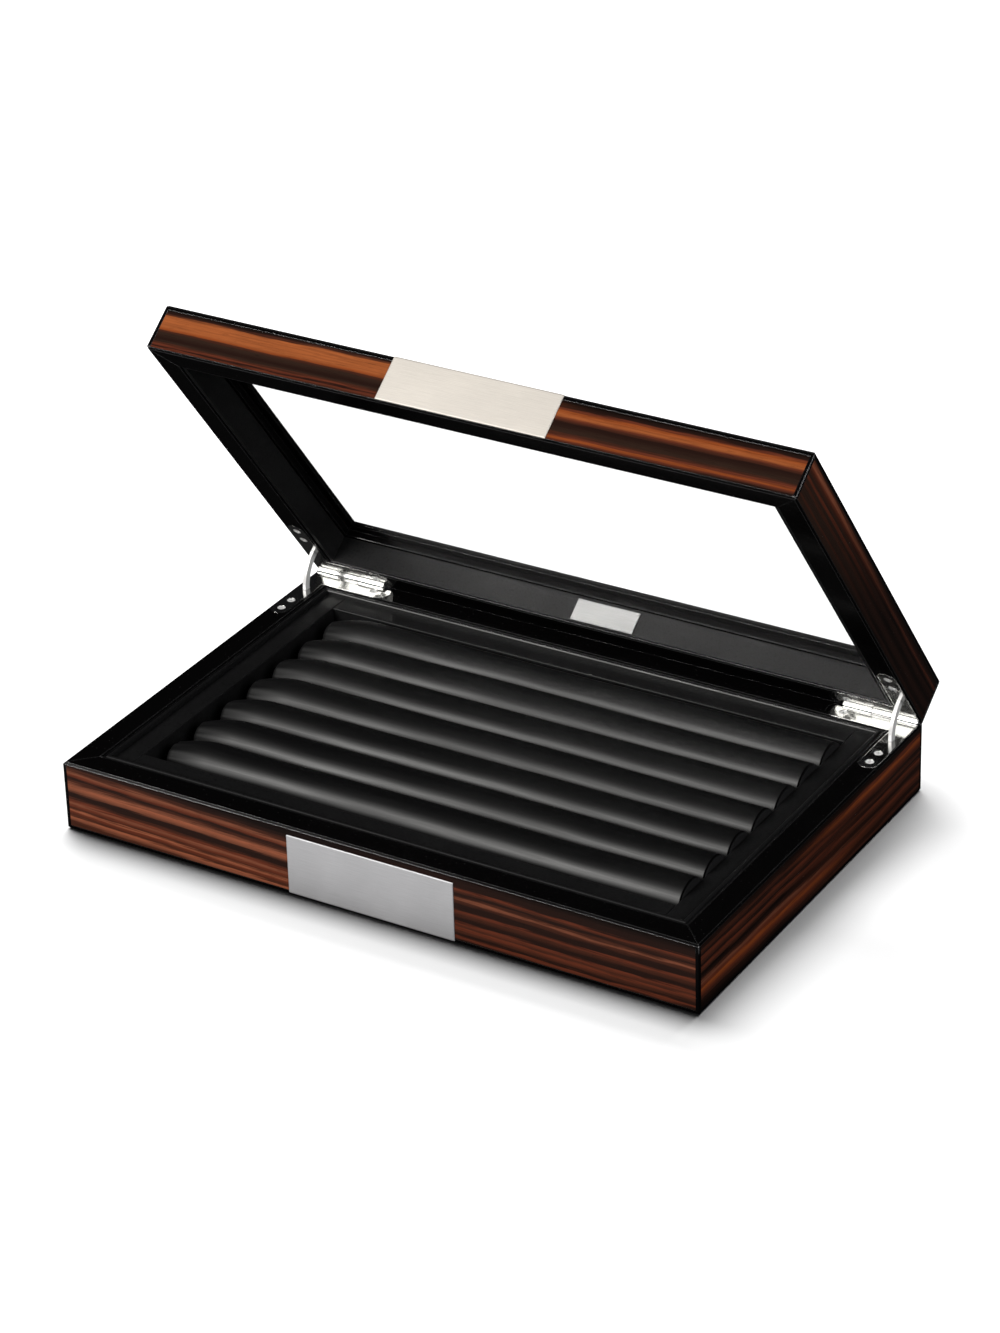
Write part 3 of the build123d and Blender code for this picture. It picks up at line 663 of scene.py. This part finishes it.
def roll_points(low, high, seed, rows=150, columns=72):
    """Points of one roll between two corners of its space.

    Round it, y is a cosine and z a sine above the shoulder, and both are raised to a low power below it, which makes
    a flat foot. Along it, the nose shrinks the section by a power of the distance into it, and both ends are closed
    by a quarter of an ellipse: the nose's is long, and the straight end's is short. The lean moves a point aside by a
    share of its height above the shoulder.
    """
    draw = np.random.default_rng(seed)
    t = np.linspace(0, 1, rows)
    eased = np.where(t < 0.5, 0.5 * (2 * t) ** 1.7, 1 - 0.5 * (2 - 2 * t) ** 2.2)
    length = high[0] + to_board - low[0]
    left, right = length * eased, length * (1 - eased)
    x = low[0] + left
    nose = np.clip(1 - left / nose_length, 0, 1)
    closing = np.clip(np.minimum(left / nose_closing, right / end_closing), 0, 1)
    shrink = (1 - nose_loss * nose ** 1.7) * np.sqrt(1 - (1 - closing) ** 2)
    lean = draw.uniform(-0.05, 0.05) + ripple(x, 0.04, 14, draw) + ripple(x, 0.02, 45, draw)
    angle = np.linspace(0, 2 * np.pi, columns, endpoint=False)[None]
    c, s = np.cos(angle), np.sin(angle)
    below = s < 0
    half = (high[1] - low[1]) / 2
    crown = crown_share * half
    shoulder = high[2] - crown
    across = np.where(below, np.sign(c) * np.abs(c) ** 0.35 * (1 + 0.1 * s), c)
    up = np.where(below, -(np.abs(s) ** 0.5) * (shoulder - low[2]), s * crown)
    slow = ripple(x[:, None], 0.00018, 95, draw) + ripple(x[:, None], 0.0001, 230, draw)
    tucks = 0.0002 * nose[:, None] ** 1.5 * np.sin(angle * 11 + draw.uniform(0, 6)) * closing[:, None]
    width = (half * shrink)[:, None] - 0.0001 + 0.4 * slow + tucks
    rise = np.where(below, 1.0, 1.0 - 0.012 * np.cos(x[:, None] * 60 + draw.uniform(0, 6)) ** 2)
    middle = (low[1] + high[1]) / 2 + ripple(x[:, None], 0.00015, 40, draw) * (1 - nose[:, None])
    centre = low[2] + (shoulder - low[2]) * 0.62
    z = shoulder + up * rise
    z = centre + (z - centre) * shrink[:, None] ** 0.8 + np.where(below, 0, tucks)
    y = middle + across * width + lean[:, None] * np.maximum(z - shoulder, 0)
    z = np.maximum(z, low[2])
    return np.stack(np.broadcast_arrays(x[:, None], y, z), axis=-1)


# %% [markdown]
# The patch over the cut end only has to fill what can be seen between the crown and the board. So it is a thin disc
# that takes its outline from the roll: the same ring of points, a little smaller, carried through its thickness.
# Its leatherette is a lighter copy, painted light, so that the cut end in shade looks as light as the lit board.

# %% Shape of an end patch
def end_patch(points, thickness=0.00015):
    """Points of the patch on a roll's cut end: the roll's last full section, a little smaller, carried along X."""
    end = points[-1, 0, 0]
    full = np.flatnonzero(points[:, 0, 0] < end - end_closing)[-1]
    section = points[full, :, 1:]
    middle = section.mean(axis=0)
    share = 0.985 * np.array([0, 0.97, 1, 0.97, 0])[:, None, None]
    x = end + thickness * np.array([0, 0, 0.5, 1, 1])[:, None, None]
    yz = middle + (section - middle) * share
    return np.concatenate([np.broadcast_to(x, (*yz.shape[:2], 1)), yz], axis=-1)


# %% [markdown]
# ## Satin cloth
#
# The cloth is black satin, and almost all that comes back from it is one broad highlight along each crown. So its
# colour is nearly black, and its roughness makes the look. The weave and its thicker threads break the highlight up a
# little. No cloth is handled quite evenly, so a slow noise makes each roll a little duller or shinier than the next.
# Near the noses, where the gathers turn every way, the highlight is spread out further.

# %% Material: satin cloth
cloth, tree, shader = start_material("satin_roll_cloth", IOR=1.5, Specular_IOR_Level=0.45)
thread = add(tree, "UVMap", uv_map="thread").outputs[0]
weave = add(tree, "Group", {"Vector": thread}, node_tree=woven_cloth).outputs
tone = blend_colours(tree, weave["Slub"], (0.0012, 0.0012, 0.0014, 1), (0.0024, 0.0024, 0.0027, 1))
tree.links.new(tone, shader.inputs["Base Color"])
place = place_on(tree)
gathered = spread(tree, add(tree, "SeparateXYZ", {0: place}).outputs["X"], -0.1, -0.06, 0.05, 0.0)
along_rolls = add(tree, "Mapping", {"Vector": place, "Scale": (8, 45, 1)}).outputs[0]
handled = spread(tree, noise(tree, along_rolls, 1.0, 1.0), 0.3, 0.7, -0.035, 0.035)
gloss = sums(tree, "ADD", spread(tree, weave["Slub"], 0.3, 0.7, 0.43, 0.49), handled)
tree.links.new(sums(tree, "ADD", gloss, gathered), shader.inputs["Roughness"])
thread_bump = add(tree, "Bump", {"Strength": 0.07, "Distance": 0.0001, "Height": weave["Height"]})
tree.links.new(thread_bump.outputs[0], shader.inputs["Normal"])

# %% [markdown]
# Each roll is made in the space of its CAD solid. Its number seeds the lean and the small waves, so no two are alike.

# %% Seven rolls
# Painted light: a lighter copy of the leatherette, so the shaded cut ends look as light as the lit board.
patch_painted_lighter = leatherette("patch_leatherette_painted_light", 0.013, 0.018, Specular_IOR_Level=0.2)
rolls = []
way_round = 0.078  # as the weave counts it
for number in range(1, 8):
    low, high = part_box(f"cushion_roll_{number}")
    points = roll_points(low, high, number)
    girth = np.linspace(0, way_round, points.shape[1] + 1)
    roll = closed_surface(f"cloth_roll_{number}", points, (points[:, 0, 0], girth))
    roll.data.materials.append(cloth)
    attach(roll, "base")
    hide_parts(f"cushion_roll_{number}")
    rolls.append(roll)
    patch = closed_surface(f"roll_end_patch_{number}", end_patch(points))
    patch.data.materials.append(patch_painted_lighter)
    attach(patch, "base")
print("seven rolls of", len(roll.data.polygons), "faces each, and a patch on the end of each")

# %% [markdown]
# ## Screws
#
# Three countersunk screws hold each hinge leaf. The CAD screws are plain cones. Each is replaced by a turned surface:
# a slightly domed head with a cross recess, the countersink under it, and a plain shank hidden in the wood. The recess
# is pressed into the head by lowering the points that lie within one of its two arms.

# %% Screws
def screw_points(x, y, turn, columns=56):
    """Points of a screw at the base's rim, its axis along Z.

    The profile runs from the middle of the head out to its rim, down the countersink and down the shank to its tip.
    """
    head, shank, rim, length = 0.0019, 0.0009, 0.0325, 0.008
    out = np.concatenate([np.linspace(0, 0.93, 26), [0.97, 1.0, 1.0, 0.97]]) * head
    dome = 0.00003 - 0.00019 * (out / head) ** 2
    dome[-3:] = [-0.00018, -0.00022, -0.0003]
    cone = np.linspace(0.0016, shank, 4)
    cone_z = -0.0015 * (head - cone) / (head - shank)
    body = np.concatenate([[shank] * 6, np.linspace(shank, 0, 4)])
    body_z = np.concatenate([np.linspace(-0.0017, -0.0065, 6), np.linspace(-0.0068, -length, 4)])
    radius = np.concatenate([out, cone, body])[:, None]
    height = np.concatenate([dome, cone_z, body_z])[:, None]
    angle = np.linspace(0, 2 * np.pi, columns, endpoint=False)[None]
    px, py = radius * np.cos(angle), radius * np.sin(angle)
    narrow = np.minimum(np.abs(px), np.abs(py))
    wide = np.maximum(np.abs(px), np.abs(py))
    half_arm, arm_slope, arm_reach, arm_taper, depth = 0.00034, 0.00016, 0.00125, 0.0004, 0.0008
    arm = np.clip((half_arm - narrow) / arm_slope, 0, 1) * np.clip((arm_reach - wide) / arm_taper, 0, 1)
    top_rows = 28  # as far as the head's rim
    on_top = np.arange(len(radius))[:, None] < top_rows
    pz = rim + height - np.where(on_top, depth * arm, 0)
    turned_x = px * math.cos(turn) - py * math.sin(turn)
    turned_y = px * math.sin(turn) + py * math.cos(turn)
    return np.stack([x + turned_x, y + turned_y, pz], axis=-1)


def into_lid(points):
    """Mirrors points of the shut base into the shut lid, then turns them open with it."""
    mirrored = points * (1, 1, -1) + (0, 0, 2 * pin.z)
    turned = (mirrored - np.array(pin)) @ np.array(to_shut) + np.array(pin)
    return turned[:, ::-1]


one_hinge = [(0.14705, 0.0688), (0.14705, 0.0608), (0.1185, 0.0933)]
screw_places = [(side * x, y) for side in (-1, 1) for x, y in one_hinge]
turns = iter(np.random.default_rng(5).uniform(0, math.pi / 2, 12))
for body, replaced in (("base", "base_hinge_screws"), ("lid", "lid_hinge_screws")):
    heads = []
    for number, (x, y) in enumerate(screw_places, start=1):
        points = screw_points(x, y, next(turns))
        points = into_lid(points) if body == "lid" else points
        heads.append(closed_surface(f"{body}_screw_{number}", points))
    for head in heads:
        head.data.materials.append(steel_painted_white_highlight)
        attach(head, body)
    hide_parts(replaced)
print("twelve screws of", len(heads[0].data.polygons), "faces each")

# %% [markdown]
# ## The joint line
#
# The two rims meet at the rear on a line through the hinge pins. On the real box they touch there. The CAD rims stand a
# tenth of a millimetre apart, so that the lid can turn freely, and the white floor would shine through as a thin line.
# A bead of lacquer as wide as that gap runs along the pins' axis and closes it at every angle of the lid.

# %% Beads along the joint
bead_radius, clear_of_pins = 0.000045, 0.0005


def joint_bead(name, start, end):
    """Lacquer bead along the hinge axis between two places on X: a circle carried along, closed at both ends."""
    along = np.array([start, start, end, end])[:, None]
    radius = np.array([0, bead_radius, bead_radius, 0])[:, None]
    angle = np.linspace(0, 2 * np.pi, 16, endpoint=False)[None]
    across, up = pin.y + radius * np.cos(angle), pin.z + radius * np.sin(angle)
    bead = closed_surface(name, np.stack(np.broadcast_arrays(along, across, up), axis=-1))
    bead.data.materials.append(lacquer)
    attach(bead, "base")


pin_ends = [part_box(f"hinge_{hand}_pin") for hand in ("left", "right")]
wall_low, wall_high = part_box("base_rear_wall")
joint_bead("joint_bead_left", wall_low[0] + clear_of_pins, pin_ends[0][0][0] - clear_of_pins)
joint_bead("joint_bead_middle", pin_ends[0][1][0] + clear_of_pins, pin_ends[1][0][0] - clear_of_pins)
joint_bead("joint_bead_right", pin_ends[1][1][0] + clear_of_pins, wall_high[0] - clear_of_pins)
print("the pins end at", [round(float(value), 4) for ends in pin_ends for value in (ends[0][0], ends[1][0])])

# %% [markdown]
# ## Floor
#
# The box stands on a plain white sheet. Only what is seen straight on, or through the glass, is fully white. For every
# ray that has bounced, the sheet is painted nearly black, as painted shade, as if black cards stood round the box, out
# of the picture: where a polished face would mirror the sheet, also through the window, it sees a dark one. In front of
# the box the sheet is painted lighter for these rays, a painted reflection. Away from the box and its shadow the sheet
# glows a little where it is seen directly, so that low views stay pale.

# %% Floor
floor_mesh = bpy.data.meshes.new("floor")
far = 40
floor_mesh.from_pydata([(-far, -far, 0), (far, -far, 0), (far, far, 0), (-far, far, 0)], [], [(0, 1, 2, 3)])
floor = bpy.data.objects.new("floor", floor_mesh)
bpy.context.scene.collection.objects.link(floor)
paper, tree, shader = start_material("white_sheet", Roughness=0.9, Specular_IOR_Level=0.0, Emission_Strength=1.0)


def seen_directly(tree):
    """One for what is seen straight on or through the glass, and zero for what is met after a bounce."""
    ray = add(tree, "LightPath").outputs
    first = sums(tree, "LESS_THAN", sums(tree, "ADD", ray["Diffuse Depth"], ray["Glossy Depth"]), 0.5)
    return sums(tree, "MULTIPLY", first, sums(tree, "MAXIMUM", ray["Is Camera Ray"], ray["Is Transmission Ray"]))


seen = seen_directly(tree)
towards_rear = add(tree, "SeparateXYZ", {0: place_on(tree)}).outputs["Y"]
# Painted reflection and shade: what bounced rays see of the sheet, lighter in front of the box and nearly black behind.
mirrored = spread(tree, towards_rear, -0.13, -0.09, 0.27, 0.015)
grey = sums(tree, "MULTIPLY_ADD", seen, 0.9, sums(tree, "MULTIPLY", sums(tree, "SUBTRACT", 1.0, seen), mirrored))
tree.links.new(add(tree, "CombineColor", {0: grey, 1: grey, 2: grey}).outputs[0], shader.inputs["Base Color"])
from_box = add(tree, "VectorMath", {0: place_on(tree)}, operation="LENGTH").outputs["Value"]
glow = sums(tree, "MULTIPLY", seen, spread(tree, from_box, 0.45, 1.2))
tree.links.new(add(tree, "CombineColor", {0: glow, 1: glow, 2: glow}).outputs[0], shader.inputs["Emission Color"])
paper.cycles.emission_sampling = "NONE"
floor.data.materials.append(paper)
floor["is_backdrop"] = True

# %% [markdown]
# ## Light
#
# The main light is a softbox at the front left, at the mirror image of the camera's place, because that is where the
# polished edges and the satin rolls look for their highlights. A weaker one at the right lights the flanks, with the
# rolls flagged off from it, and a wide, faint one overhead fills the rest. One behind the box lights only the faces
# that the photograph doesn't show, so that they can be seen too, in other views. A wide lamp above and behind lights
# the sheet alone, until it turns pure white, and leaves a soft shadow a finger wide along the front and the right. The
# room itself is nearly dark, and that keeps the lacquer black, but where it is seen directly it is white, like the
# sheet.

# %% Light
def softbox(name, place, size, radiance, lights=(), skips=(), facing=None, colour=(1, 1, 1)):
    """Rectangular lamp, as bright all over as the given radiance, that looks at the box unless a direction is given.

    It lights nothing but the objects in lights, where there are any, and never those in skips, as studio flags do.
    """
    data = bpy.data.lights.new(name, "AREA")
    data.shape, data.size, data.size_y = "RECTANGLE", *size
    data.energy, data.color = radiance * math.pi * size[0] * size[1], colour
    lamp = bpy.data.objects.new(name, data)
    lamp.location = place
    looks_along = Vector(facing) if facing else Vector((0, 0, 0.08)) - lamp.location
    lamp.rotation_mode = "QUATERNION"
    lamp.rotation_quaternion = looks_along.to_track_quat("-Z", "Y")
    bpy.context.scene.collection.objects.link(lamp)
    receivers = bpy.data.collections.new(name)
    for piece in (*lights, *skips):
        receivers.objects.link(piece)
    states = ["INCLUDE"] * len(lights) + ["EXCLUDE"] * len(skips)
    for entry, state in zip(receivers.collection_objects, states):
        entry.light_linking.link_state = state
    lamp.light_linking.receiver_collection = receivers
    return lamp


softbox("key_softbox", (-0.905, -1.48, 1.067), (1.1, 0.9), radiance=14.0, skips=[floor], colour=(1.0, 0.985, 0.96))
softbox("side_fill", (1.9, -0.57, 1.0), (1.6, 1.2), radiance=4.0, skips=[floor, *rolls])
softbox("overhead_fill", (0.4, 0.25, 2.6), (2.6, 2.6), radiance=0.06, skips=[floor])
unseen = ["base_rear_veneer", "base_left_veneer", "lid_rear_veneer", "lid_left_veneer"]
unseen += [f"lid_{side}_top_veneer" for side in sides]
softbox("rear_fill", (0.3, 2.3, 1.2), (1.6, 1.0), radiance=8.0, lights=[nodes[name] for name in unseen])
softbox("sheet_light", (-1.15, 1.4, 3.0), (3.3, 2.8), radiance=9.4, lights=[floor], facing=(0, 0, -1))
world = bpy.data.worlds.new("dim_room")
world.use_nodes = True
room = blend_colours(world.node_tree, seen_directly(world.node_tree), (0.014, 0.014, 0.015, 1), (1, 1, 1, 1))
world.node_tree.links.new(room, world.node_tree.nodes["Background"].inputs["Color"])
bpy.context.scene.world = world
bpy.context.scene.view_settings.view_transform = "Standard"

# %% [markdown]
# ## Sizes and the end
#
# The size of the finished model is worked out and printed.

# %% Finish
low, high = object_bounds()
print("the dressed box is", [round(v, 4) for v in high - low], "m in size")
